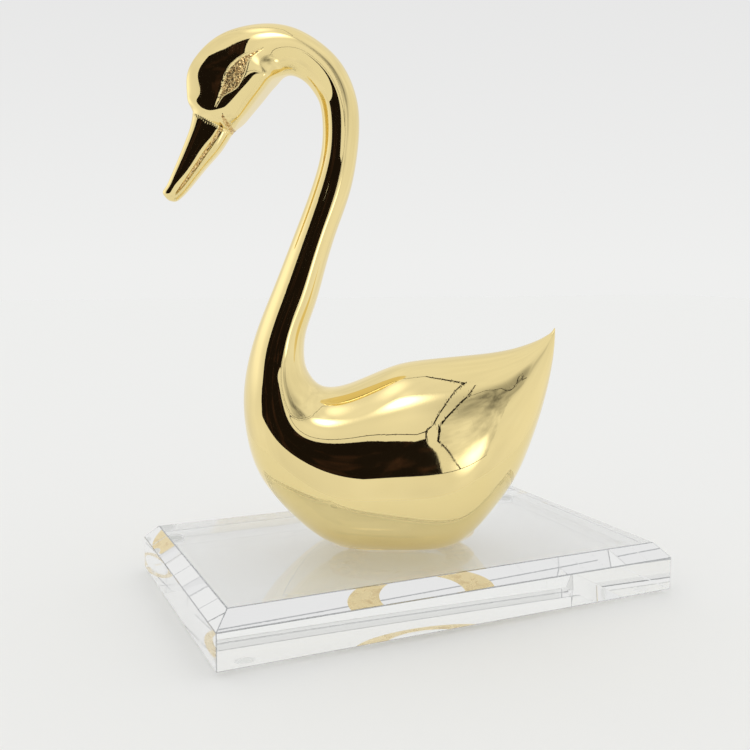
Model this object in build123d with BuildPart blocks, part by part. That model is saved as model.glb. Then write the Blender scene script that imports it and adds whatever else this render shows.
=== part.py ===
from build123d import *
import os
from math import cos, pi, radians, sin

os.makedirs("parts", exist_ok=True)

# Clear acrylic block
block_length = 200
block_width = 120
block_height = 20
bevel_width = 5.6
bevel_height = 6
edge_break = 0.4

# Bumper feet under the block's corners
foot_diameter = 8
foot_height = 2.2
foot_rim = 0.6
foot_inset_x = 12
foot_inset_y = 9

# Swan, measured above the block: length from bill tip to tail tip
swan_height = 214
swan_length = 164
body_width = 64
swan_turn = 26  # degrees that the swan is turned on the block, seen from above
swan_offset_x = -5
swan_offset_y = -6

# Casting
wall = 3
seat_wall = 5
recess_depth = 0.6
spigot_diameter = 10
spigot_length = 12
braze_gap = 0.1
overrun = 1

# Oval brass ring between the swan and the block
ring_length = 68
ring_width = 45
ring_thickness = 0.8
ring_opening_length = 39
ring_opening_width = 35
ring_offset_x = 1.5
ring_offset_y = 0.5

# Ribs of the swan, cut across it from head to tail. Each has two ends in the swan's own
# upright plane: the front end (bill, breast and belly side) and the back end (crown, nape
# and back side), each as a share of swan_length forward of the seat and a share of
# swan_height above the block. Then comes the half width as a share of body_width, and the
# fullness, which moves the widest place towards the front end.
head_rib_shares = [
    (0.447, 0.788, 0.513, 0.817, 0.070, 0.00),
    (0.430, 0.789, 0.524, 0.838, 0.106, 0.00),
    (0.388, 0.827, 0.536, 0.867, 0.134, 0.05),
    (0.354, 0.859, 0.534, 0.904, 0.159, 0.05),
    (0.329, 0.883, 0.509, 0.940, 0.168, 0.05),
    (0.313, 0.895, 0.460, 0.973, 0.166, 0.00),
    (0.296, 0.903, 0.395, 0.993, 0.155, 0.00),
    (0.276, 0.906, 0.317, 0.999, 0.142, 0.00),
]
neck_rib_shares = [
    (0.254, 0.900, 0.256, 0.989, 0.133, 0.00),
    (0.234, 0.888, 0.197, 0.963, 0.127, 0.00),
    (0.216, 0.870, 0.146, 0.923, 0.122, 0.00),
    (0.204, 0.850, 0.115, 0.870, 0.119, 0.00),
    (0.198, 0.813, 0.106, 0.813, 0.117, 0.00),
    (0.202, 0.762, 0.112, 0.752, 0.119, 0.00),
    (0.220, 0.708, 0.128, 0.689, 0.122, 0.00),
    (0.250, 0.644, 0.159, 0.619, 0.130, 0.00),
    (0.288, 0.569, 0.189, 0.544, 0.141, 0.00),
    (0.324, 0.499, 0.215, 0.472, 0.156, 0.00),
    (0.357, 0.436, 0.239, 0.416, 0.177, 0.00),
]
breast_rib_shares = [
    (0.386, 0.364, 0.244, 0.369, 0.211, 0.03),
    (0.399, 0.299, 0.237, 0.343, 0.262, 0.08),
    (0.395, 0.231, 0.216, 0.319, 0.315, 0.14),
    (0.363, 0.144, 0.184, 0.308, 0.372, 0.20),
    (0.278, 0.060, 0.134, 0.314, 0.425, 0.25),
]
body_rib_shares = [
    (0.177, 0.002, 0.073, 0.333, 0.473, 0.28),
    (0.049, -0.015, 0.000, 0.355, 0.498, 0.30),
    (-0.085, -0.014, -0.083, 0.366, 0.492, 0.30),
    (-0.177, 0.012, -0.165, 0.373, 0.455, 0.28),
    (-0.245, 0.068, -0.232, 0.379, 0.390, 0.24),
    (-0.301, 0.130, -0.287, 0.387, 0.308, 0.20),
]
tail_rib_shares = [
    (-0.344, 0.208, -0.329, 0.397, 0.219, 0.12),
    (-0.372, 0.278, -0.360, 0.407, 0.141, 0.06),
    (-0.391, 0.346, -0.382, 0.417, 0.072, 0.00),
    (-0.398, 0.393, -0.391, 0.423, 0.033, 0.00),
    (-0.399, 0.427, -0.397, 0.430, 0.006, 0.00),
]
bill_rib_shares = [
    (0.405, 0.828, 0.508, 0.864, 0.085, 0.00),
    (0.430, 0.797, 0.517, 0.834, 0.088, 0.00),
    (0.451, 0.766, 0.527, 0.811, 0.085, 0.00),
    (0.482, 0.739, 0.543, 0.778, 0.077, 0.00),
    (0.512, 0.712, 0.562, 0.744, 0.069, 0.00),
    (0.539, 0.687, 0.580, 0.714, 0.060, 0.00),
    (0.559, 0.672, 0.595, 0.693, 0.050, 0.00),
    (0.575, 0.667, 0.601, 0.682, 0.034, 0.00),
    (0.586, 0.669, 0.595, 0.675, 0.011, 0.00),
]

# Outlines of the recesses in the head's sides, in the same two shares
eye_outline_shares = [
    (0.336, 0.946),
    (0.380, 0.934),
    (0.411, 0.919),
    (0.430, 0.899),
    (0.444, 0.868),
    (0.457, 0.838),
    (0.437, 0.858),
    (0.402, 0.872),
    (0.381, 0.897),
    (0.368, 0.926),
]
mouth_outline_shares = [
    (0.449, 0.812),
    (0.461, 0.799),
    (0.493, 0.766),
    (0.543, 0.710),
    (0.566, 0.684),
    (0.562, 0.681),
    (0.535, 0.703),
    (0.486, 0.753),
    (0.447, 0.795),
    (0.443, 0.806),
]

half_rib_spans = 6
above_joint_middle_share = 0.16  # of swan_length, forward of the joint's middle
above_joint_length_share = 0.70  # of swan_length
above_joint_height_share = 1.20  # of swan_height

# Heights and planes worked out from the sizes above
block_bottom = foot_height
block_top = block_bottom + block_height
ring_top = block_top + ring_thickness
turn = radians(swan_turn)
swan_plane = Plane(
    origin=(swan_offset_x, swan_offset_y, block_top),
    x_dir=(-cos(turn), sin(turn), 0),
    z_dir=(sin(turn), cos(turn), 0),
)


def place(along_share, up_share):
    """The point in the swan's upright plane that two shares stand for."""
    return swan_plane.from_local_coords(
        Vector(along_share * swan_length, up_share * swan_height, 0)
    )


def rib_plane(rib):
    """The plane of a rib: x from its middle to its front end, y across the swan."""
    front = place(rib[0], rib[1])
    back = place(rib[2], rib[3])
    forward = (front - back).normalized()
    return Plane(
        origin=(front + back) * 0.5,
        x_dir=forward,
        z_dir=forward.cross(swan_plane.z_dir),
    )


def rib_section(rib, inset=0):
    """The egg-shaped outline of a rib, drawn inset from the casting's skin."""
    half_depth = (place(rib[0], rib[1]) - place(rib[2], rib[3])).length / 2 - inset
    half_width = rib[4] * body_width - inset
    shares = [step / half_rib_spans for step in range(half_rib_spans + 1)]
    with BuildSketch(rib_plane(rib)) as section:
        with BuildLine():
            for start in (0, pi):
                points = []
                for share in shares:
                    angle = start + pi * share
                    across = half_width * sin(angle) * (1 + rib[5] * cos(angle))
                    points.append(Vector(half_depth * cos(angle), across))
                outward = Vector(0, cos(start))
                add(Edge.make_spline(points, [outward, -outward], parameters=shares))
        make_face()
    return section.sketch


def side_outline(outline_shares, depth_from, depth_to):
    """A closed curve in the swan's upright plane, extruded between two depths."""
    with BuildPart() as prism:
        with BuildSketch(swan_plane.offset(depth_from)):
            with BuildLine():
                Spline(
                    *[(a * swan_length, b * swan_height) for a, b in outline_shares],
                    periodic=True,
                )
            make_face()
        extrude(amount=depth_to - depth_from)
    return prism.part


main_ribs = (
    head_rib_shares + neck_rib_shares + breast_rib_shares + body_rib_shares + tail_rib_shares
)
joint_plane = rib_plane(neck_rib_shares[-1])

# The head and bill, drawn in by the depth of the recesses: their floors follow it
with BuildPart() as recess_floor:
    loft([rib_section(rib, recess_depth) for rib in head_rib_shares[1:]])
    loft([rib_section(rib, recess_depth) for rib in bill_rib_shares[:-1]])

with BuildPart() as recesses:
    for outline in (eye_outline_shares, mouth_outline_shares):
        add(side_outline(outline, -body_width / 2, body_width / 2))
    add(recess_floor.part, mode=Mode.SUBTRACT)

# The whole outside of the swan, from which the two castings are taken
with BuildPart() as swan_form:
    loft([rib_section(rib) for rib in main_ribs])
    loft([rib_section(rib) for rib in bill_rib_shares])
    add(recesses.part, mode=Mode.SUBTRACT)
    split(bisect_by=Plane.XY.offset(ring_top), keep=Keep.TOP)

# The space above the brazed joint: it holds the neck and head, and stops short of the tail
above_joint_height = above_joint_height_share * swan_height
with BuildPart() as above_joint:
    with BuildSketch(joint_plane):
        with Locations((above_joint_middle_share * swan_length, 0)):
            Rectangle(above_joint_length_share * swan_length, 2 * body_width)
    extrude(amount=-above_joint_height)

# Neck, head and bill in one solid casting, with a spigot at its root
with BuildPart() as swan_neck:
    add(swan_form.part)
    add(above_joint.part, mode=Mode.INTERSECT)
    with BuildSketch(joint_plane):
        Circle(spigot_diameter / 2)
    extrude(amount=spigot_length)

# Hollow space in the body, with a level floor over the seat
with BuildPart() as body_hollow:
    loft(
        [
            rib_section(rib, wall)
            for rib in breast_rib_shares[1:] + body_rib_shares + tail_rib_shares[:2]
        ]
    )
    split(bisect_by=Plane.XY.offset(ring_top + seat_wall), keep=Keep.TOP)

# Body and tail in one hollow casting, ground flat underneath
with BuildPart() as swan_body:
    add(swan_form.part)
    add(above_joint.part, mode=Mode.SUBTRACT)
    add(body_hollow.part, mode=Mode.SUBTRACT)
    with BuildSketch(joint_plane):
        Circle(spigot_diameter / 2 + braze_gap)
    extrude(amount=spigot_length + overrun, mode=Mode.SUBTRACT)

# Oval ring that the swan's ground seat is fixed to, and the block under it
with BuildPart() as seat_ring:
    with BuildSketch(Plane.XY.offset(block_top)):
        with Locations((ring_offset_x, ring_offset_y)):
            Ellipse(ring_length / 2, ring_width / 2)
            Ellipse(ring_opening_length / 2, ring_opening_width / 2, mode=Mode.SUBTRACT)
    extrude(amount=ring_thickness)

# Block with a broad polished bevel round its top
with BuildPart() as base_block:
    with BuildSketch(Plane.XY.offset(block_bottom)):
        Rectangle(block_length, block_width)
    extrude(amount=block_height - bevel_height)
    chamfer(base_block.edges().filter_by(Axis.Z), edge_break)
    chamfer(base_block.edges().group_by(Axis.Z)[0], edge_break)
    shoulder = base_block.faces().sort_by(Axis.Z)[-1]
    with BuildSketch(Plane.XY.offset(block_top)) as block_face:
        Rectangle(block_length - 2 * bevel_width, block_width - 2 * bevel_width)
        chamfer(block_face.vertices(), edge_break)
    loft([shoulder, block_face.sketch], ruled=True)


def bumper_foot(x, y):
    """A domed bumper whose flat top meets the block's underside at (x, y)."""
    with BuildPart() as foot:
        with BuildSketch():
            with Locations((x, y)):
                Circle(foot_diameter / 2)
        extrude(amount=foot_height)
        fillet(foot.edges().group_by(Axis.Z)[0], foot_height - foot_rim)
    return foot.part


foot_x = block_length / 2 - foot_inset_x
foot_y = block_width / 2 - foot_inset_y
feet = {
    "foot_front_left": bumper_foot(-foot_x, -foot_y),
    "foot_front_right": bumper_foot(foot_x, -foot_y),
    "foot_back_left": bumper_foot(-foot_x, foot_y),
    "foot_back_right": bumper_foot(foot_x, foot_y),
}

pieces = {
    "swan_neck": swan_neck.part,
    "swan_body": swan_body.part,
    "seat_ring": seat_ring.part,
    "base_block": base_block.part,
    **feet,
}
for name, piece in pieces.items():
    piece.label = name
    export_step(piece, f"parts/{name}.step")
    print(name, round(piece.volume), "cubic mm")
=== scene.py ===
import math

import bmesh
import bpy
import numpy as np
from mathutils import Matrix, Vector, noise


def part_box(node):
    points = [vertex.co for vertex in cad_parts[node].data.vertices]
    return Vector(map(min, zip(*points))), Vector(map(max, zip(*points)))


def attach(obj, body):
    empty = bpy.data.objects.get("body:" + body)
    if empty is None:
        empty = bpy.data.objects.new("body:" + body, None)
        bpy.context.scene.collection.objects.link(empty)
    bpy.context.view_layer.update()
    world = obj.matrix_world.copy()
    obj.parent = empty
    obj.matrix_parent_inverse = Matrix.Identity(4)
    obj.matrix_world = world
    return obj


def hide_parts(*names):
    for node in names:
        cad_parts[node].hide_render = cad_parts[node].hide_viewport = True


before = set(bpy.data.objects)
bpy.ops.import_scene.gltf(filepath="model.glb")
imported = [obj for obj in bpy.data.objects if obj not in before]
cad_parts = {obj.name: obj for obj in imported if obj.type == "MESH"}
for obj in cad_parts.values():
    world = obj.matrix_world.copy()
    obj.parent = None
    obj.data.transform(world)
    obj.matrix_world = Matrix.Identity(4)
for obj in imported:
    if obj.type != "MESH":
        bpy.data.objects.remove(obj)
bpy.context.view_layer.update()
print("frame loaded:", len(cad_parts), "pieces")

scene = bpy.context.scene
scene.view_settings.view_transform = "Standard"
mm = 0.001

blockLow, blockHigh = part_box("base_block")
blockTop = blockHigh[2]
ringLow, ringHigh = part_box("seat_ring")
ringMiddle = Vector(((ringLow[0] + ringHigh[0]) / 2, (ringLow[1] + ringHigh[1]) / 2, blockTop))


# Node helpers
def newMaterial(name):
    material = bpy.data.materials.new(name)
    material.use_nodes = True
    material.node_tree.nodes.clear()
    return material


def addNode(tree, kind, settings=None, **inputs):
    node = tree.nodes.new(kind)
    for key, value in (settings or {}).items():
        setattr(node, key, value)
    for key, value in inputs.items():
        socket = node.inputs[key.replace("_", " ")]
        if isinstance(value, bpy.types.NodeSocket):
            tree.links.new(value, socket)
        else:
            socket.default_value = value
    return node


def mapRange(tree, value, low, high, newLow, newHigh):
    node = addNode(tree, "ShaderNodeMapRange", {"clamp": True})
    tree.links.new(value, node.inputs["Value"])
    for key, number in (("From Min", low), ("From Max", high), ("To Min", newLow), ("To Max", newHigh)):
        node.inputs[key].default_value = number
    return node.outputs["Result"]


def mixColor(tree, mask, first, second):
    node = addNode(tree, "ShaderNodeMix", {"data_type": "RGBA"})
    tree.links.new(mask, node.inputs["Factor"])
    for index, value in ((6, first), (7, second)):
        if isinstance(value, bpy.types.NodeSocket):
            tree.links.new(value, node.inputs[index])
        else:
            node.inputs[index].default_value = (*value, 1.0)
    return node.outputs[2]


def newGroup(name, inputs, outputs):
    group = bpy.data.node_groups.new(name, "ShaderNodeTree")
    for label, kind, value in inputs:
        socket = group.interface.new_socket(label, in_out="INPUT", socket_type=kind)
        socket.default_value = value
    for label, kind in outputs:
        group.interface.new_socket(label, in_out="OUTPUT", socket_type=kind)
    start = group.nodes.new("NodeGroupInput")
    end = group.nodes.new("NodeGroupOutput")
    return group, start.outputs, end.inputs


def useGroup(tree, group, **inputs):
    return addNode(tree, "ShaderNodeGroup", {"node_tree": group}, **inputs).outputs


# Node group: hair-fine polishing lines that run every way, put out as a mask
def makePolishLines():
    group, given, put = newGroup(
        "polishLines",
        [("Scale", "NodeSocketFloat", 900.0), ("Cover", "NodeSocketFloat", 0.5)],
        [("Mask", "NodeSocketFloat")],
    )
    place = addNode(group, "ShaderNodeTexCoord").outputs["Object"]
    streaks = []
    for turn in (0.3, 1.5, 2.4):
        turned = addNode(group, "ShaderNodeMapping", Vector=place, Rotation=(turn, turn * 0.7, turn * 1.3),
                         Scale=(1.0, 1.0, 0.03)).outputs["Vector"]
        streaks.append(addNode(group, "ShaderNodeTexNoise", Vector=turned, Scale=given["Scale"],
                               Detail=1.0).outputs["Fac"])
    most = addNode(group, "ShaderNodeMath", {"operation": "MAXIMUM"})
    group.links.new(streaks[0], most.inputs[0])
    group.links.new(streaks[1], most.inputs[1])
    mostOfAll = addNode(group, "ShaderNodeMath", {"operation": "MAXIMUM"})
    group.links.new(most.outputs[0], mostOfAll.inputs[0])
    group.links.new(streaks[2], mostOfAll.inputs[1])
    fine = mapRange(group, mostOfAll.outputs[0], 0.62, 0.78, 0.0, 1.0)
    scaled = addNode(group, "ShaderNodeMath", {"operation": "MULTIPLY"})
    group.links.new(fine, scaled.inputs[0])
    group.links.new(given["Cover"], scaled.inputs[1])
    group.links.new(scaled.outputs[0], put["Mask"])
    return group


# Node group: soft handling smudges, put out as a mask and as a broad variation
def makeSmudges():
    group, given, put = newGroup(
        "smudges",
        [("Scale", "NodeSocketFloat", 25.0)],
        [("Mask", "NodeSocketFloat"), ("Broad", "NodeSocketFloat")],
    )
    place = addNode(group, "ShaderNodeTexCoord").outputs["Object"]
    broad = addNode(group, "ShaderNodeTexNoise", Vector=place, Scale=given["Scale"], Detail=3.0,
                    Distortion=0.6).outputs["Fac"]
    mask = mapRange(group, broad, 0.52, 0.72, 0.0, 1.0)
    group.links.new(mask, put["Mask"])
    group.links.new(broad, put["Broad"])
    return group


polishLines = makePolishLines()
smudges = makeSmudges()
print("node groups made")

polishedGoldLook = {
    "color": (0.93, 0.775, 0.395),
    "deepColor": (0.90, 0.735, 0.34),
    "roughness": (0.018, 0.055),
    "lineScale": 700.0,
    "lineCover": 0.8,
    "smudgeScale": 30.0,
    "bumpStrength": 0.12,
    "bumpHeight": 0.02 * mm,
}


def makePolishedGold(look):
    material = newMaterial("polishedGold")
    tree = material.node_tree
    lines = useGroup(tree, polishLines, Scale=look["lineScale"], Cover=look["lineCover"])["Mask"]
    marks = useGroup(tree, smudges, Scale=look["smudgeScale"])
    rough = mapRange(tree, marks["Mask"], 0.0, 1.0, *look["roughness"])
    color = mixColor(tree, marks["Broad"], look["color"], look["deepColor"])
    bump = addNode(tree, "ShaderNodeBump", Strength=look["bumpStrength"], Distance=look["bumpHeight"],
                   Height=lines)
    shader = addNode(tree, "ShaderNodeBsdfPrincipled", Metallic=1.0, Base_Color=color, Roughness=rough,
                     Normal=bump.outputs["Normal"])
    addNode(tree, "ShaderNodeOutputMaterial", Surface=shader.outputs["BSDF"])
    return material


# Stippled gold: the high colour is the chips' gold, the dark low colour is painted shade between the chips
stippledGoldLook = {
    "high": (0.95, 0.73, 0.34),
    "low": (0.50, 0.30, 0.11),
    "grain": 1500.0,
    "pitShare": 0.6,
    "roughness": (0.3, 0.12),
    "bumpStrength": 0.8,
    "bumpHeight": 0.3 * mm,
}


def makeStippledGold(look):
    material = newMaterial("stippledGold")
    tree = material.node_tree
    place = addNode(tree, "ShaderNodeTexCoord").outputs["Object"]
    grain = addNode(tree, "ShaderNodeTexNoise", Vector=place, Scale=look["grain"], Detail=2.0).outputs["Fac"]
    pits = addNode(tree, "ShaderNodeTexVoronoi", Vector=place,
                   Scale=look["grain"] * look["pitShare"]).outputs["Distance"]
    # Where the grain is low the dark colour goes in: painted shade in the gaps between chips
    mask = mapRange(tree, grain, 0.38, 0.62, 0.0, 1.0)
    color = mixColor(tree, mask, look["low"], look["high"])
    bump = addNode(tree, "ShaderNodeBump", Strength=look["bumpStrength"], Distance=look["bumpHeight"],
                   Height=pits)
    rough = mapRange(tree, grain, 0.3, 0.7, *look["roughness"])
    shader = addNode(tree, "ShaderNodeBsdfPrincipled", Metallic=1.0, Base_Color=color, Roughness=rough,
                     Normal=bump.outputs["Normal"])
    addNode(tree, "ShaderNodeOutputMaterial", Surface=shader.outputs["BSDF"])
    return material


turnedBrassLook = {
    "color": (0.93, 0.76, 0.41),
    "dull": (0.80, 0.61, 0.31),
    "roughness": (0.16, 0.34),
    "rings": 1500.0,
    "smudgeScale": 160.0,
    "bumpStrength": 0.25,
    "bumpHeight": 0.02 * mm,
}


def makeTurnedMetal(name, look):
    material = newMaterial(name)
    tree = material.node_tree
    place = addNode(tree, "ShaderNodeTexCoord").outputs["Object"]
    centred = addNode(tree, "ShaderNodeMapping", Vector=place, Location=(-ringMiddle.x, -ringMiddle.y, 0.0))
    rings = addNode(tree, "ShaderNodeTexWave", {"wave_type": "RINGS", "rings_direction": "Z"},
                    Vector=centred.outputs["Vector"], Scale=look["rings"], Distortion=0.4).outputs["Fac"]
    marks = useGroup(tree, smudges, Scale=look["smudgeScale"])
    color = mixColor(tree, marks["Mask"], look["color"], look["dull"])
    rough = mapRange(tree, marks["Broad"], 0.3, 0.7, *look["roughness"])
    bump = addNode(tree, "ShaderNodeBump", Strength=look["bumpStrength"], Distance=look["bumpHeight"],
                   Height=rings)
    shader = addNode(tree, "ShaderNodeBsdfPrincipled", Metallic=1.0, Base_Color=color, Roughness=rough,
                     Normal=bump.outputs["Normal"])
    addNode(tree, "ShaderNodeOutputMaterial", Surface=shader.outputs["BSDF"])
    return material


clearAcrylicLook = {
    "color": (0.99, 0.993, 0.991),
    "roughness": (0.0, 0.02),
    "longestPath": 5.5,
    "trappedGlow": (0.82, 0.82, 0.81),
    "ior": 1.49,
    "lineScale": 500.0,
}
# Block edges: a dark tint and a dark glow past the longest path, painted shade for the dark lines along the
# polished edges
paintedEdgeShadeLook = {
    "color": (0.26, 0.27, 0.28),
    "roughness": (0.02, 0.10),
    "longestPath": 5.5,
    "trappedGlow": (0.20, 0.20, 0.21),
    "ior": 1.49,
    "lineScale": 500.0,
}
clearBumperLook = {
    "color": (0.97, 0.975, 0.97),
    "roughness": (0.04, 0.12),
    "longestPath": 5.5,
    "trappedGlow": (0.74, 0.74, 0.73),
    "ior": 1.45,
    "lineScale": 900.0,
}


# Clear plastic. A ray that has bounced round inside more times than the longest path ends in a flat painted
# glow, pale as the light from a real block
def makeClear(name, look):
    material = newMaterial(name)
    tree = material.node_tree
    lines = useGroup(tree, polishLines, Scale=look["lineScale"], Cover=0.6)["Mask"]
    rough = mapRange(tree, lines, 0.0, 1.0, *look["roughness"])
    bump = addNode(tree, "ShaderNodeBump", Strength=0.05, Distance=0.01 * mm, Height=lines)
    shader = addNode(tree, "ShaderNodeBsdfPrincipled", Base_Color=(*look["color"], 1.0), IOR=look["ior"],
                     Transmission_Weight=1.0, Roughness=rough, Normal=bump.outputs["Normal"])
    path = addNode(tree, "ShaderNodeLightPath").outputs
    through = addNode(tree, "ShaderNodeBsdfTransparent", Color=(1.0, 1.0, 1.0, 1.0))
    both = addNode(tree, "ShaderNodeMixShader", Fac=path["Is Shadow Ray"])
    tree.links.new(shader.outputs["BSDF"], both.inputs[1])
    tree.links.new(through.outputs["BSDF"], both.inputs[2])
    trapped = addNode(tree, "ShaderNodeMath", {"operation": "GREATER_THAN"})
    tree.links.new(path["Ray Depth"], trapped.inputs[0])
    trapped.inputs[1].default_value = look["longestPath"]
    # Painted glow in place of the light that a longer path would bring out
    glow = addNode(tree, "ShaderNodeEmission", Color=(*look["trappedGlow"], 1.0), Strength=1.0)
    whole = addNode(tree, "ShaderNodeMixShader", Fac=trapped.outputs[0])
    tree.links.new(both.outputs["Shader"], whole.inputs[1])
    tree.links.new(glow.outputs["Emission"], whole.inputs[2])
    addNode(tree, "ShaderNodeOutputMaterial", Surface=whole.outputs["Shader"])
    return material


polishedGold = makePolishedGold(polishedGoldLook)
stippledGold = makeStippledGold(stippledGoldLook)
turnedBrass = makeTurnedMetal("turnedBrass", turnedBrassLook)
clearAcrylic = makeClear("clearAcrylic", clearAcrylicLook)
paintedEdgeShade = makeClear("paintedEdgeShade", paintedEdgeShadeLook)
clearBumper = makeClear("clearBumper", clearBumperLook)
print("materials made")

# The swan's ribs: front end, back end, half width and fullness, with the casting's outline but flatter
# cheeks and a neck that is widest nearer the nape. A seventh share flattens a rib's sides
swan = {
    "height": 214 * mm,
    "length": 164 * mm,
    "width": 64 * mm,
    "turn": math.radians(26),
    "offset": (-5 * mm, -6 * mm),
    "around": 224,
    "stepAlong": 0.8 * mm,
    "lap": 0.03 * mm,
    "stepAlongHead": 0.36 * mm,
}
headRibShares = [
    (0.424, 0.797, 0.522, 0.836, 0.090, 0.05, 0.20),
    (0.417, 0.803, 0.526, 0.843, 0.110, 0.28, 0.28),
    (0.406, 0.812, 0.531, 0.851, 0.122, 0.38, 0.55),
    (0.386, 0.829, 0.535, 0.868, 0.134, 0.48, 0.60),
    (0.354, 0.859, 0.534, 0.904, 0.149, 0.52, 0.62),
    (0.329, 0.883, 0.509, 0.940, 0.162, 0.50, 0.62),
    (0.313, 0.895, 0.460, 0.973, 0.168, 0.40, 0.58),
    (0.296, 0.903, 0.395, 0.993, 0.164, 0.10, 0.28),
    (0.276, 0.906, 0.317, 0.999, 0.152, -0.05, 0.15),
]
neckRibShares = [
    (0.254, 0.900, 0.256, 0.989, 0.138, -0.14, 0.05),
    (0.234, 0.888, 0.197, 0.963, 0.128, -0.16),
    (0.216, 0.870, 0.146, 0.923, 0.122, -0.16),
    (0.204, 0.850, 0.115, 0.870, 0.119, -0.16),
    (0.198, 0.813, 0.106, 0.813, 0.117, -0.16),
    (0.202, 0.762, 0.112, 0.752, 0.119, -0.18),
    (0.220, 0.708, 0.128, 0.689, 0.122, -0.20),
    (0.250, 0.644, 0.159, 0.619, 0.130, -0.22),
    (0.288, 0.569, 0.189, 0.544, 0.141, -0.22),
    (0.324, 0.499, 0.215, 0.472, 0.156, -0.22),
    (0.357, 0.436, 0.239, 0.416, 0.177, -0.20),
]
bodyRibShares = [
    (0.386, 0.364, 0.244, 0.369, 0.211, -0.14),
    (0.399, 0.299, 0.237, 0.343, 0.262, -0.04),
    (0.395, 0.231, 0.216, 0.319, 0.315, 0.08),
    (0.363, 0.144, 0.184, 0.308, 0.372, 0.20),
    (0.278, 0.060, 0.134, 0.314, 0.425, 0.25),
    (0.177, 0.002, 0.073, 0.333, 0.473, 0.28),
    (0.049, -0.015, 0.000, 0.355, 0.498, 0.30),
    (-0.085, -0.014, -0.083, 0.366, 0.492, 0.30),
    (-0.177, 0.012, -0.165, 0.373, 0.455, 0.28),
    (-0.245, 0.068, -0.232, 0.379, 0.390, 0.24),
    (-0.301, 0.130, -0.287, 0.387, 0.308, 0.20),
    (-0.344, 0.208, -0.329, 0.397, 0.219, 0.12),
    (-0.372, 0.278, -0.360, 0.407, 0.141, 0.06),
    (-0.391, 0.346, -0.382, 0.417, 0.072, 0.00),
    (-0.398, 0.393, -0.391, 0.423, 0.033, 0.00),
    (-0.399, 0.427, -0.397, 0.430, 0.006, 0.00),
]
billRibShares = [
    (0.424, 0.797, 0.522, 0.836, 0.090, 0.05, 0.20),
    (0.451, 0.766, 0.527, 0.811, 0.085, 0.05, 0.42),
    (0.482, 0.739, 0.543, 0.778, 0.077, 0.05, 0.45),
    (0.512, 0.712, 0.562, 0.744, 0.069, 0.05, 0.45),
    (0.539, 0.687, 0.580, 0.714, 0.060, 0.00, 0.40),
    (0.559, 0.672, 0.595, 0.693, 0.050, 0.00, 0.30),
    (0.575, 0.667, 0.601, 0.682, 0.034, 0.00, 0.10),
    (0.586, 0.669, 0.595, 0.675, 0.011, 0.00, 0.00),
]
eyeOutlineShares = [
    (0.336, 0.946), (0.380, 0.934), (0.411, 0.919), (0.430, 0.899), (0.444, 0.868),
    (0.457, 0.838), (0.437, 0.858), (0.402, 0.872), (0.381, 0.897), (0.368, 0.926),
]
mouthOutlineShares = [
    (0.449, 0.812), (0.457, 0.798), (0.488, 0.764), (0.540, 0.709), (0.564, 0.684),
    (0.562, 0.681), (0.535, 0.703), (0.486, 0.753), (0.447, 0.795), (0.443, 0.806),
]
gapeOutlineShares = [
    (0.444, 0.820), (0.437, 0.829), (0.425, 0.815), (0.411, 0.798), (0.409, 0.787), (0.421, 0.789),
    (0.434, 0.803),
]
recess = {
    "depth": 0.6 * mm,
    "wall": 0.35 * mm,
    "stipple": 0.34 * mm,
    "gapeStipple": 0.3 * mm,
    "grain": 1050.0,
    "tickDepth": 0.28 * mm,
    "tickGap": 0.95 * mm,
    "tickReach": 1.6 * mm,
    "stippledFrom": 0.55,
}
swanFoot = Vector((*swan["offset"], blockTop))
forward = Vector((-math.cos(swan["turn"]), math.sin(swan["turn"]), 0.0))
sideways = Vector((math.sin(swan["turn"]), math.cos(swan["turn"]), 0.0))


# Natural cubic spline through rows of values
def splineRows(knots, rows, samples):
    knots = np.asarray(knots)
    rows = np.asarray(rows)
    count = len(knots)
    gaps = np.diff(knots)
    matrix = np.eye(count)
    right = np.zeros_like(rows)
    for row in range(1, count - 1):
        matrix[row, row - 1:row + 2] = gaps[row - 1], 2 * (gaps[row - 1] + gaps[row]), gaps[row]
        rise = (rows[row + 1] - rows[row]) / gaps[row]
        right[row] = 6 * (rise - (rows[row] - rows[row - 1]) / gaps[row - 1])
    bend = np.linalg.solve(matrix, right)
    span = np.clip(np.searchsorted(knots, samples, side="right") - 1, 0, count - 2)
    gap = gaps[span][:, None]
    before = (samples - knots[span])[:, None]
    after = gap - before
    return ((bend[span] * after ** 3 + bend[span + 1] * before ** 3) / (6 * gap)
            + (rows[span] / gap - bend[span] * gap / 6) * after
            + (rows[span + 1] / gap - bend[span + 1] * gap / 6) * before)


def ribRows(shares):
    scale = np.array([swan["length"], swan["height"]] * 2 + [swan["width"], 1.0, 1.0])
    full = [rib + (0.0,) * (len(scale) - len(rib)) for rib in shares]
    return np.array(full) * scale


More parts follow.
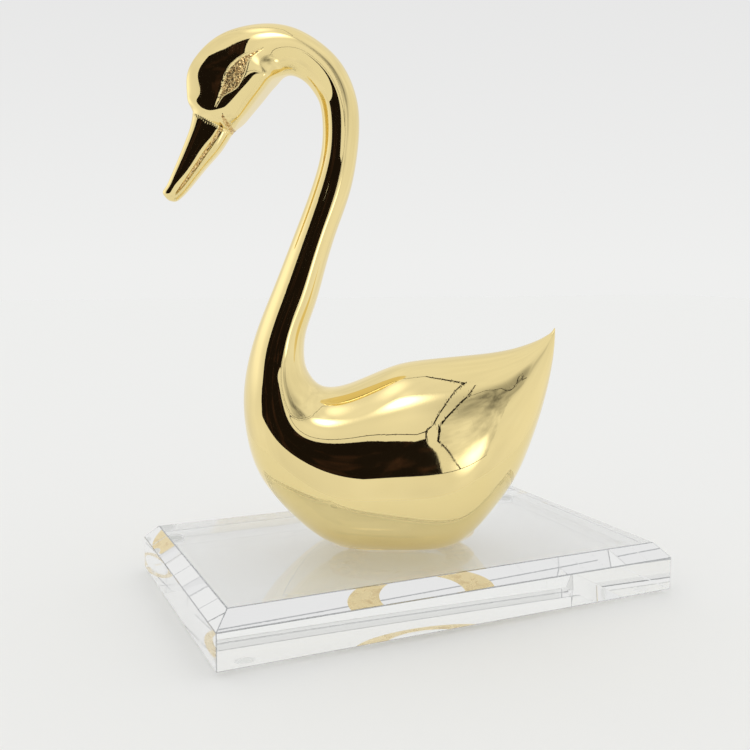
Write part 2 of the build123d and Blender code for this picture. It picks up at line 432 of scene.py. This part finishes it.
# Rings of points along a run of ribs, in the swan's own plane: along, up, across. Where a close rib is
# named, its ring and the two beside it lie a hair apart, and the middle one's index is given too
def ringsAlong(shares, step, closeRib=None):
    rows = ribRows(shares)
    middles = (rows[:, 0:2] + rows[:, 2:4]) / 2
    travel = np.linalg.norm(np.diff(middles, axis=0), axis=1) + 0.5 * np.abs(np.diff(rows[:, 4]))
    knots = np.concatenate([[0.0], np.cumsum(travel)])
    samples = [knots[0]]
    for index, length in enumerate(travel):
        pieces = max(2, math.ceil(length / (step[index] if isinstance(step, list) else step)))
        samples.extend(knots[index] + length * (part + 1) / pieces for part in range(pieces))
    closeRing = None
    if closeRib is not None:
        closeRing = int(np.argmin(np.abs(np.array(samples) - knots[closeRib]))) + 1
        lap = swan["lap"]
        samples[closeRing - 1:closeRing] = [knots[closeRib] + shift for shift in (-lap, 0.0, lap)]
    rows = splineRows(knots, rows, np.array(samples))
    angle = np.linspace(0.0, 2 * math.pi, swan["around"], endpoint=False)
    middle = (rows[:, 0:2] + rows[:, 2:4]) / 2
    half = (rows[:, 0:2] - rows[:, 2:4]) / 2
    flat = middle[:, None, :] + half[:, None, :] * np.cos(angle)[None, :, None]
    wave = np.sign(np.sin(angle)) * np.abs(np.sin(angle)) ** (1 - rows[:, 6:7])
    across = rows[:, 4:5] * wave * (1 + rows[:, 5:6] * np.cos(angle))
    return np.concatenate([flat, across[..., None]], axis=2), closeRing


def ringNormals(rings):
    along = np.gradient(rings, axis=0)
    around = np.roll(rings, -1, axis=1) - np.roll(rings, 1, axis=1)
    normals = np.cross(around, along)
    length = np.linalg.norm(normals, axis=2, keepdims=True)
    normals /= np.maximum(length, 1e-12)
    outward = np.sign(((rings - rings.mean(axis=1, keepdims=True)) * normals).sum(axis=2).mean())
    return normals * outward


def toWorld(points):
    basis = np.array([list(forward), [0.0, 0.0, 1.0], list(sideways)])
    return points @ basis


# Signed distance from points to a closed outline: positive inside
def insideOutline(flat, outlineShares):
    corners = np.array(outlineShares) * np.array([swan["length"], swan["height"]])
    count = len(corners)
    smooth = []
    for index in range(count):
        before, start, end, after = (corners[(index + shift) % count] for shift in (-1, 0, 1, 2))
        for part in np.linspace(0, 1, 6, endpoint=False):
            smooth.append(0.5 * (2 * start + (end - before) * part
                                 + (2 * before - 5 * start + 4 * end - after) * part ** 2
                                 + (3 * start - before - 3 * end + after) * part ** 3))
    outline = np.array(smooth)
    nearest = np.full(flat.shape[:-1], 1e9)
    inside = np.zeros(flat.shape[:-1], dtype=bool)
    for start, end in zip(outline, np.roll(outline, -1, axis=0)):
        side = end - start
        share = np.clip(((flat - start) @ side) / max(side @ side, 1e-18), 0, 1)
        gap = flat - (start + share[..., None] * side)
        nearest = np.minimum(nearest, np.hypot(gap[..., 0], gap[..., 1]))
        crosses = (start[1] > flat[..., 1]) != (end[1] > flat[..., 1])
        with np.errstate(divide="ignore", invalid="ignore"):
            reach = start[0] + (flat[..., 1] - start[1]) / (end[1] - start[1]) * side[0]
        inside ^= crosses & (flat[..., 0] < reach)
    return np.where(inside, nearest, -nearest)


def grainNoise(points, scale):
    offset = Vector((7.1, 3.3, 1.7))
    return np.array([noise.noise(Vector(point) * scale + offset) for point in points])


def carveRecesses(rings, normals):
    depth = np.zeros(rings.shape[:2])
    for outline in (eyeOutlineShares, mouthOutlineShares):
        sided = insideOutline(rings[..., :2], outline)
        depth = np.maximum(depth, np.clip(sided / recess["wall"], 0, 1))
    gape = np.clip(insideOutline(rings[..., :2], gapeOutlineShares) / recess["wall"], 0, 1)
    picked = (depth > 0) | (gape > 0)
    rough = np.zeros(rings.shape[:2])
    rough[picked] = grainNoise(rings[picked], recess["grain"])
    down = depth * (recess["depth"] + rough * recess["stipple"]) + gape * rough * recess["gapeStipple"]
    return rings - normals * down[..., None], np.maximum(depth, gape)


# A row of short nicks where the bill leaves the head
def nickRoot(rings, normals):
    root = rings[0]
    travel = np.cumsum(np.linalg.norm(root - np.roll(root, 1, axis=0), axis=1))
    nicks = np.clip(np.cos(travel / recess["tickGap"] * 2 * math.pi), 0, 1)
    away = np.linalg.norm(rings - root[None], axis=2)
    down = nicks[None] * np.clip(1 - away / recess["tickReach"], 0, 1) * np.clip(away / recess["wall"], 0, 1)
    return rings - normals * (down * recess["tickDepth"])[..., None]


# Skin over rings, stippled where the mask is deep. End caps have corners of their own, so they stay flat
def ringMesh(name, rings, masks=None, closeStart=False, closeEnd=False):
    count, around = rings.shape[:2]
    points = toWorld(rings.reshape(-1, 3)) + np.array(swanFoot)
    faces = []
    for ring in range(count - 1):
        for spot in range(around):
            following = (spot + 1) % around
            faces.append((ring * around + spot, ring * around + following,
                          (ring + 1) * around + following, (ring + 1) * around + spot))
    points = points.tolist()
    for wanted, first in ((closeStart, 0), (closeEnd, (count - 1) * around)):
        if wanted:
            faces.append(tuple(range(len(points), len(points) + around)))
            points.extend(points[first:first + around])
    mesh = bpy.data.meshes.new(name)
    mesh.from_pydata(points, [], faces)
    mesh.update()
    mesh.materials.append(polishedGold)
    mesh.materials.append(stippledGold)
    if masks is not None:
        flat = masks.reshape(-1)
        for polygon in mesh.polygons:
            depth = min(flat[corner] for corner in polygon.vertices) if len(polygon.vertices) == 4 else 0
            if depth > recess["stippledFrom"]:
                polygon.material_index = 1
    for polygon in mesh.polygons:
        polygon.use_smooth = len(polygon.vertices) == 4
    body = bpy.data.objects.new(name, mesh)
    scene.collection.objects.link(body)
    bm = bmesh.new()
    bm.from_mesh(mesh)
    bmesh.ops.recalc_face_normals(bm, faces=bm.faces)
    bm.to_mesh(mesh)
    bm.free()
    return body


headSteps = [swan["stepAlongHead"]] * (len(headRibShares) - 1)
mainSteps = headSteps + [swan["stepAlong"]] * (len(neckRibShares) + len(bodyRibShares))
jointRib = len(headRibShares) + len(neckRibShares) - 1
mainRings, jointRing = ringsAlong(headRibShares + neckRibShares + bodyRibShares, mainSteps, jointRib)
mainNormals = ringNormals(mainRings)
billRings, _ = ringsAlong(billRibShares, swan["stepAlongHead"])
billNormals = ringNormals(billRings)

neckRings, neckNormals = mainRings[:jointRing + 1], mainNormals[:jointRing + 1]
carvedNeck, neckMask = carveRecesses(neckRings, neckNormals)
carvedBill, billMask = carveRecesses(billRings, billNormals)
carvedBill = nickRoot(carvedBill, billNormals)
swanNeck = ringMesh("swanNeckSkin", carvedNeck, neckMask, closeEnd=True)
swanBill = ringMesh("swanBillSkin", carvedBill, billMask, closeEnd=True)
swanBody = ringMesh("swanBodySkin", mainRings[jointRing:], closeStart=True, closeEnd=True)
bm = bmesh.new()
bm.from_mesh(swanBody.data)
seatFace = Vector((swanFoot.x, swanFoot.y, ringHigh[2]))
cut = bmesh.ops.bisect_plane(bm, geom=bm.verts[:] + bm.edges[:] + bm.faces[:], plane_co=seatFace,
                             plane_no=(0, 0, 1), clear_inner=True)
rim = [part for part in cut["geom_cut"] if isinstance(part, bmesh.types.BMEdge)]
for face in bmesh.ops.contextual_create(bm, geom=rim)["faces"]:
    face.smooth = False
bm.to_mesh(swanBody.data)
bm.free()

for piece in (swanNeck, swanBill):
    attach(piece, "root")
    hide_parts("swan_neck")
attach(swanBody, "root")
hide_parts("swan_body")
print("swan made:", sum(len(piece.data.vertices) for piece in (swanNeck, swanBill, swanBody)), "points")

# The block: a sawn and polished slab, its four top edges sloped and every edge softened
block = {
    "bevelWidth": 5.6 * mm,
    "bevelHeight": 6 * mm,
    "edgeBreak": 0.3 * mm,
    "edgeSteps": 3,
}


def makeBlock():
    bm = bmesh.new()
    shoulder = blockHigh[2] - block["bevelHeight"]
    levels = ((blockLow[2], 0.0), (shoulder, 0.0), (blockHigh[2], block["bevelWidth"]))
    loops = []
    for height, inset in levels:
        corners = ((blockLow[0] + inset, blockLow[1] + inset), (blockHigh[0] - inset, blockLow[1] + inset),
                   (blockHigh[0] - inset, blockHigh[1] - inset), (blockLow[0] + inset, blockHigh[1] - inset))
        loops.append([bm.verts.new((x, y, height)) for x, y in corners])
    bm.faces.new(reversed(loops[0]))
    bm.faces.new(loops[-1])
    for lower, upper in zip(loops, loops[1:]):
        for corner in range(4):
            following = (corner + 1) % 4
            bm.faces.new((lower[corner], lower[following], upper[following], upper[corner]))
    # The softened edges take the second, dark material: painted shade along every edge
    bmesh.ops.bevel(bm, geom=bm.edges[:], offset=block["edgeBreak"], segments=block["edgeSteps"],
                    profile=0.5, affect="EDGES", material=1)
    bmesh.ops.recalc_face_normals(bm, faces=bm.faces)
    mesh = bpy.data.meshes.new("baseBlockSkin")
    bm.to_mesh(mesh)
    bm.free()
    mesh.materials.append(clearAcrylic)
    mesh.materials.append(paintedEdgeShade)
    piece = bpy.data.objects.new("baseBlockSkin", mesh)
    scene.collection.objects.link(piece)
    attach(piece, "root")
    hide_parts("base_block")


makeBlock()
print("block made")

# The oval ring, ground flat, a hair into the block so that it shows through the clear body
ring = {
    "openingLength": 39 * mm,
    "openingWidth": 35 * mm,
    "around": 160,
    "sink": 0.02 * mm,
}


def makeRing():
    middle = (Vector(ringLow) + Vector(ringHigh)) / 2
    sizes = ((ringHigh[0] - ringLow[0], ringHigh[1] - ringLow[1]),
             (ring["openingLength"], ring["openingWidth"]))
    points = []
    for length, width in sizes:
        for height in (blockTop - ring["sink"], ringHigh[2]):
            for spot in range(ring["around"]):
                angle = 2 * math.pi * spot / ring["around"]
                points.append((middle.x + length / 2 * math.cos(angle),
                               middle.y + width / 2 * math.sin(angle), height))
    count = ring["around"]
    faces = []
    for spot in range(count):
        following = (spot + 1) % count
        for first, second in ((0, 1), (1, 3), (3, 2), (2, 0)):
            faces.append((first * count + spot, first * count + following,
                          second * count + following, second * count + spot))
    mesh = bpy.data.meshes.new("seatRingSkin")
    mesh.from_pydata(points, [], faces)
    mesh.materials.append(turnedBrass)
    piece = bpy.data.objects.new("seatRingSkin", mesh)
    scene.collection.objects.link(piece)
    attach(piece, "root")
    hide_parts("seat_ring")


makeRing()
print("ring made")

# Clear bumper feet: low drums with a sloped rim, a hair into the block
feet = {
    "rim": 0.6 * mm,
    "around": 48,
    "sink": 0.02 * mm,
}


def makeFoot(nodeName, pieceName):
    low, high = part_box(nodeName)
    middleX, middleY, radius = (low[0] + high[0]) / 2, (low[1] + high[1]) / 2, (high[0] - low[0]) / 2
    levels = ((low[2], radius - feet["rim"]), (low[2] + feet["rim"], radius),
              (blockLow[2] + feet["sink"], radius))
    bm = bmesh.new()
    loops = []
    for height, reach in levels:
        turns = [2 * math.pi * spot / feet["around"] for spot in range(feet["around"])]
        loops.append([bm.verts.new((middleX + reach * math.cos(turn),
                                    middleY + reach * math.sin(turn), height)) for turn in turns])
    bm.faces.new(reversed(loops[0]))
    bm.faces.new(loops[-1])
    for lower, upper in zip(loops, loops[1:]):
        for spot in range(feet["around"]):
            following = (spot + 1) % feet["around"]
            face = bm.faces.new((lower[spot], lower[following], upper[following], upper[spot]))
            face.smooth = True
    mesh = bpy.data.meshes.new(pieceName)
    bm.to_mesh(mesh)
    bm.free()
    mesh.materials.append(clearBumper)
    piece = bpy.data.objects.new(pieceName, mesh)
    scene.collection.objects.link(piece)
    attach(piece, "root")
    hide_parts(nodeName)


makeFoot("foot_front_left", "footFrontLeftSkin")
makeFoot("foot_front_right", "footFrontRightSkin")
makeFoot("foot_back_left", "footBackLeftSkin")
makeFoot("foot_back_right", "footBackRightSkin")
print("feet made")

# Pale floor and a light tent round the object: its walls are seen only in reflections
studio = {
    "floorHalf": 3.0,
    "floorColor": (0.855, 0.858, 0.845),
    "horizonColor": (0.862, 0.864, 0.855),
    "skyColor": (0.79, 0.79, 0.79),
    "horizonFade": 0.32,
    "lightStrength": 1.0,
    "clutterScale": 7.0,
    "roomColor": (0.010, 0.007, 0.006),
    "roomGlow": (0.045, 0.022, 0.016),
}
tent = {
    "turn": math.radians(-36),
    "front": 0.200,
    "back": -0.350,
    "left": -0.300,
    "right": 0.250,
    "top": 0.550,
    "wallStrength": 0.86,
    "wallFoldScale": 6.0,
    "wallFolds": (0.92, 1.06),
    "leafStrength": 0.80,
    "leafFoldScale": 28.0,
    "leafFolds": (0.78, 1.18),
    "spots": [
        ((-0.035, 0.200, 0.460), 0.115, 2.8),
        ((0.170, 0.200, 0.115), 0.075, 1.5),
        ((0.165, 0.200, 0.350), 0.170, -0.50),
        ((-0.300, 0.020, 0.220), 0.160, 0.35),
        ((-0.120, 0.100, 0.550), 0.110, 0.5),
    ],
}


def makeFloor():
    half = studio["floorHalf"]
    mesh = bpy.data.meshes.new("paperFloor")
    corners = [(-half, -half, 0), (half, -half, 0), (half, half, 0), (-half, half, 0)]
    mesh.from_pydata(corners, [], [(0, 1, 2, 3)])
    floor = bpy.data.objects.new("paperFloor", mesh)
    scene.collection.objects.link(floor)
    material = newMaterial("paperFloor")
    tree = material.node_tree
    shader = addNode(tree, "ShaderNodeBsdfDiffuse", Color=(*studio["floorColor"], 1.0))
    addNode(tree, "ShaderNodeOutputMaterial", Surface=shader.outputs["BSDF"])
    mesh.materials.append(material)


def tentPoint(side, front, height):
    across = Vector((math.cos(tent["turn"]), math.sin(tent["turn"]), 0.0))
    toward = Vector((math.sin(tent["turn"]), -math.cos(tent["turn"]), 0.0))
    return Vector((swanFoot.x, swanFoot.y, height)) + across * side + toward * front


# Cloth lit from behind: folds, plus soft spots where the lamps stand
def makeGlow(name, strength, foldScale, folds):
    material = newMaterial(name)
    tree = material.node_tree
    place = addNode(tree, "ShaderNodeTexCoord").outputs["Object"]
    drape = addNode(tree, "ShaderNodeTexNoise", Vector=place, Scale=foldScale, Detail=2.0).outputs["Fac"]
    total = mapRange(tree, drape, 0.3, 0.7, strength * folds[0], strength * folds[1])
    for spot, reach, gain in tent["spots"]:
        away = addNode(tree, "ShaderNodeVectorMath", {"operation": "DISTANCE"})
        tree.links.new(place, away.inputs[0])
        away.inputs[1].default_value = tentPoint(*spot)
        near = addNode(tree, "ShaderNodeMapRange", {"interpolation_type": "SMOOTHERSTEP"}, From_Min=reach,
                       From_Max=0.0, To_Min=0.0, To_Max=gain, Value=away.outputs["Value"]).outputs["Result"]
        summed = addNode(tree, "ShaderNodeMath", {"operation": "ADD"})
        tree.links.new(total, summed.inputs[0])
        tree.links.new(near, summed.inputs[1])
        total = summed.outputs[0]
    shader = addNode(tree, "ShaderNodeEmission", Color=(1.0, 1.0, 1.0, 1.0), Strength=total)
    clear = addNode(tree, "ShaderNodeBsdfTransparent")
    passed = addNode(tree, "ShaderNodeLightPath").outputs["Is Transmission Ray"]
    both = addNode(tree, "ShaderNodeMixShader", Fac=passed)
    tree.links.new(shader.outputs["Emission"], both.inputs[1])
    tree.links.new(clear.outputs["BSDF"], both.inputs[2])
    addNode(tree, "ShaderNodeOutputMaterial", Surface=both.outputs["Shader"])
    return material


def makeWall(name, corners, material):
    mesh = bpy.data.meshes.new(name)
    mesh.from_pydata([tentPoint(*corner) for corner in corners], [], [tuple(range(len(corners)))])
    mesh.materials.append(material)
    wall = bpy.data.objects.new(name, mesh)
    scene.collection.objects.link(wall)
    wall.visible_camera = False
    wall.visible_diffuse = False
    wall.visible_transmission = False
    wall.visible_volume_scatter = False
    wall.visible_shadow = False


# Edges of the tent's open front, its flap and its seams: corners as side and height on the front face
frontPanels = {
    "tentLip": [(-0.30, 0.0), (0.25, 0.0), (0.25, 0.086), (-0.02, 0.086), (-0.06, 0.098), (-0.30, 0.118)],
    "tentStripRight": [(0.098, 0.088), (0.135, 0.088), (0.111, 0.123), (0.093, 0.160), (0.076, 0.194),
                       (0.072, 0.250), (0.080, 0.318), (0.086, 0.400), (0.088, 0.550), (0.071, 0.550),
                       (0.070, 0.360), (0.066, 0.260), (0.059, 0.235), (0.061, 0.208), (0.066, 0.183),
                       (0.079, 0.157)],
    "tentStripTop": [(-0.058, 0.234), (-0.013, 0.212), (0.045, 0.200), (0.059, 0.207), (0.057, 0.232),
                     (0.045, 0.224), (-0.013, 0.236), (-0.064, 0.259), (-0.125, 0.247), (-0.125, 0.232)],
    "tentFlap": [(-0.125, 0.420), (-0.125, 0.250), (-0.064, 0.262), (-0.013, 0.239), (0.045, 0.227),
                 (0.056, 0.236), (0.064, 0.262), (0.068, 0.360), (0.069, 0.550), (-0.300, 0.550),
                 (-0.300, 0.420)],
    "tentUpperRight": [(0.090, 0.550), (0.089, 0.404), (0.119, 0.426), (0.150, 0.408), (0.179, 0.400),
                       (0.200, 0.360), (0.217, 0.336), (0.250, 0.325), (0.250, 0.550)],
}
leafPanel = [(0.138, 0.088), (0.250, 0.088), (0.250, 0.321), (0.217, 0.332), (0.200, 0.356), (0.179, 0.396),
             (0.150, 0.404), (0.119, 0.422), (0.089, 0.400), (0.083, 0.318), (0.075, 0.250), (0.079, 0.194),
             (0.096, 0.160), (0.114, 0.123)]
topPanels = {  # corners as side and front
    "tentTopLeft": [(-0.300, 0.200), (0.069, 0.200), (0.062, 0.165), (-0.016, 0.030), (-0.060, 0.022),
                    (-0.215, -0.034), (-0.300, -0.100)],
    "tentTopRight": [(0.072, 0.200), (0.250, 0.200), (0.250, -0.350), (-0.300, -0.350), (-0.300, -0.104),
                     (-0.215, -0.038), (-0.060, 0.018), (-0.014, 0.026), (0.065, 0.163)],
}


def makeTent():
    front, back, left, right, top = (tent[key] for key in ("front", "back", "left", "right", "top"))
    cloth = makeGlow("tentCloth", tent["wallStrength"], tent["wallFoldScale"], tent["wallFolds"])
    leaf = makeGlow("tentLeaf", tent["leafStrength"], tent["leafFoldScale"], tent["leafFolds"])
    for name, corners in frontPanels.items():
        makeWall(name, [(side, front, height) for side, height in corners], cloth)
    makeWall("tentLeaf", [(side, front, height) for side, height in leafPanel], leaf)
    for name, corners in topPanels.items():
        makeWall(name, [(side, depth, top) for side, depth in corners], cloth)
    for name, side in (("tentLeft", left), ("tentRight", right)):
        makeWall(name, [(side, front, 0), (side, back, 0), (side, back, top), (side, front, top)], cloth)
    makeWall("tentRear", [(left, back, 0), (right, back, 0), (right, back, top), (left, back, top)], cloth)


# Pale to the eye and through the acrylic, plain light for diffuse rays, a dark room in reflections
def makeWorld():
    world = bpy.data.worlds.new("paleRoom")
    scene.world = world
    world.use_nodes = True
    tree = world.node_tree
    tree.nodes.clear()
    path = addNode(tree, "ShaderNodeLightPath").outputs
    bearing = addNode(tree, "ShaderNodeTexCoord").outputs["Generated"]
    height = addNode(tree, "ShaderNodeSeparateXYZ", Vector=bearing).outputs["Z"]
    climb = mapRange(tree, height, 0.0, studio["horizonFade"], 0.0, 1.0)
    skyTint = mixColor(tree, climb, studio["horizonColor"], studio["skyColor"])
    pale = addNode(tree, "ShaderNodeBackground", Color=skyTint, Strength=1.0)
    light = addNode(tree, "ShaderNodeBackground", Color=(1.0, 1.0, 1.0, 1.0),
                    Strength=studio["lightStrength"])
    clutter = addNode(tree, "ShaderNodeTexNoise", Vector=bearing, Scale=studio["clutterScale"],
                      Detail=2.0).outputs["Fac"]
    glints = mapRange(tree, clutter, 0.55, 0.8, 0.0, 1.0)
    roomTint = mixColor(tree, glints, studio["roomColor"], studio["roomGlow"])
    room = addNode(tree, "ShaderNodeBackground", Color=roomTint, Strength=1.0)
    firstPass = addNode(tree, "ShaderNodeMath", {"operation": "SUBTRACT", "use_clamp": True})
    tree.links.new(path["Is Transmission Ray"], firstPass.inputs[0])
    tree.links.new(path["Diffuse Depth"], firstPass.inputs[1])
    seen = addNode(tree, "ShaderNodeMath", {"operation": "MAXIMUM"})
    tree.links.new(path["Is Camera Ray"], seen.inputs[0])
    tree.links.new(firstPass.outputs[0], seen.inputs[1])
    first = addNode(tree, "ShaderNodeMixShader", Fac=seen.outputs[0])
    tree.links.new(light.outputs[0], first.inputs[1])
    tree.links.new(pale.outputs[0], first.inputs[2])
    bounced = addNode(tree, "ShaderNodeMath", {"operation": "SUBTRACT", "use_clamp": True})
    tree.links.new(path["Is Glossy Ray"], bounced.inputs[0])
    tree.links.new(path["Is Transmission Ray"], bounced.inputs[1])
    second = addNode(tree, "ShaderNodeMixShader", Fac=bounced.outputs[0])
    tree.links.new(first.outputs[0], second.inputs[1])
    tree.links.new(room.outputs[0], second.inputs[2])
    addNode(tree, "ShaderNodeOutputWorld", Surface=second.outputs[0])


makeFloor()
makeTent()
makeWorld()
print("studio made")

# Camera solved from the block's corners: distances in metres, angles in degrees
shot = {
    "azimuth": -25.30,
    "elevation": 7.01,
    "roll": 0.55,
    "distance": 0.3908,
    "aim": (-0.01322, 0.0, 0.09102),
    "lens": 44.1,
    "sensorWidth": 36.0,
    "clipStart": 0.01,
}


def makeCamera():
    data = bpy.data.cameras.new("shotCamera")
    data.sensor_width = shot["sensorWidth"]
    data.lens = shot["lens"]
    data.clip_start = shot["clipStart"]
    camera = bpy.data.objects.new("shotCamera", data)
    scene.collection.objects.link(camera)
    azimuth, elevation, roll = (math.radians(shot[key]) for key in ("azimuth", "elevation", "roll"))
    back = Vector((math.sin(azimuth) * math.cos(elevation), -math.cos(azimuth) * math.cos(elevation),
                   math.sin(elevation)))
    right = Vector((0, 0, 1)).cross(back).normalized()
    up = back.cross(right)
    turnedRight = right * math.cos(roll) + up * math.sin(roll)
    turnedUp = up * math.cos(roll) - right * math.sin(roll)
    aim = Vector(shot["aim"]) + Vector((0, 0, blockLow[2]))
    spot = aim + back * shot["distance"]
    camera.matrix_world = Matrix((
        (turnedRight.x, turnedUp.x, back.x, spot.x),
        (turnedRight.y, turnedUp.y, back.y, spot.y),
        (turnedRight.z, turnedUp.z, back.z, spot.z),
        (0, 0, 0, 1),
    ))
    scene.camera = camera


makeCamera()
print("camera placed")
